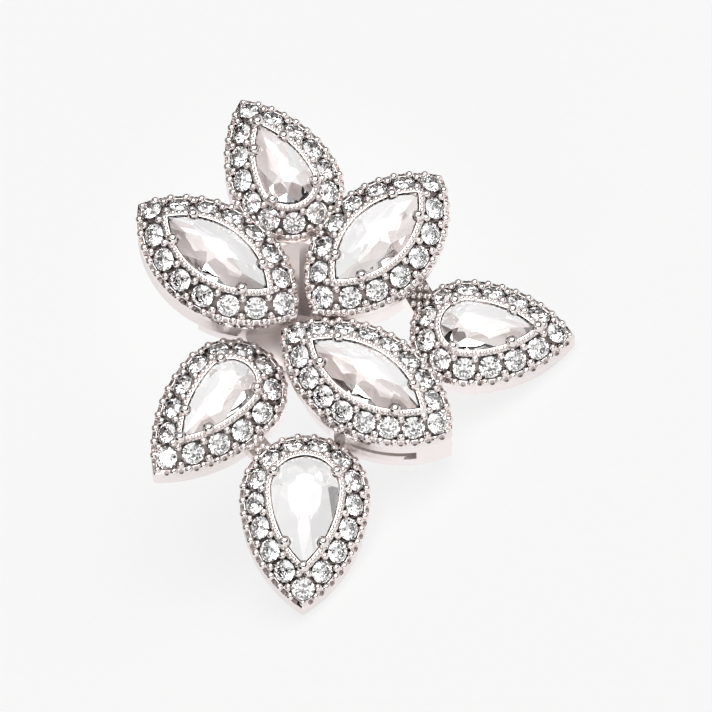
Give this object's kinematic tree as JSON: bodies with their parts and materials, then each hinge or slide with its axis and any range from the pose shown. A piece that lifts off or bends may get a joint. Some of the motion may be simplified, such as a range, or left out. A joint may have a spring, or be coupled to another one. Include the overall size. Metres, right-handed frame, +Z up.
{
  "type": "flower earring",
  "caption": "White gold flower stud earring with rose-cut centre stones in sloping bands of small diamonds.",
  "frame": {"origin": "middle of the earring's box, on the surface that it lies on", "axes": "+Z up from the surface, -Y towards the viewer, +X to the viewer's right"},
  "size_m": [0.0216, 0.0216, 0.0164],
  "materials": {
    "white_gold": "polished, rhodium plated",
    "brilliants": "clear, brilliant cut",
    "rose_cuts": "clear, rose cut"
  },
  "bodies": {
    "root": {"setting": "white_gold", "post": "white_gold", "halo_stones": "brilliants", "stone_upper_left": "rose_cuts", "stone_upper_right": "rose_cuts", "stone_lower_right": "rose_cuts", "stone_top": "rose_cuts", "stone_right": "rose_cuts", "stone_lower_left": "rose_cuts", "stone_bottom": "rose_cuts"}
  },
  "joints": []
}
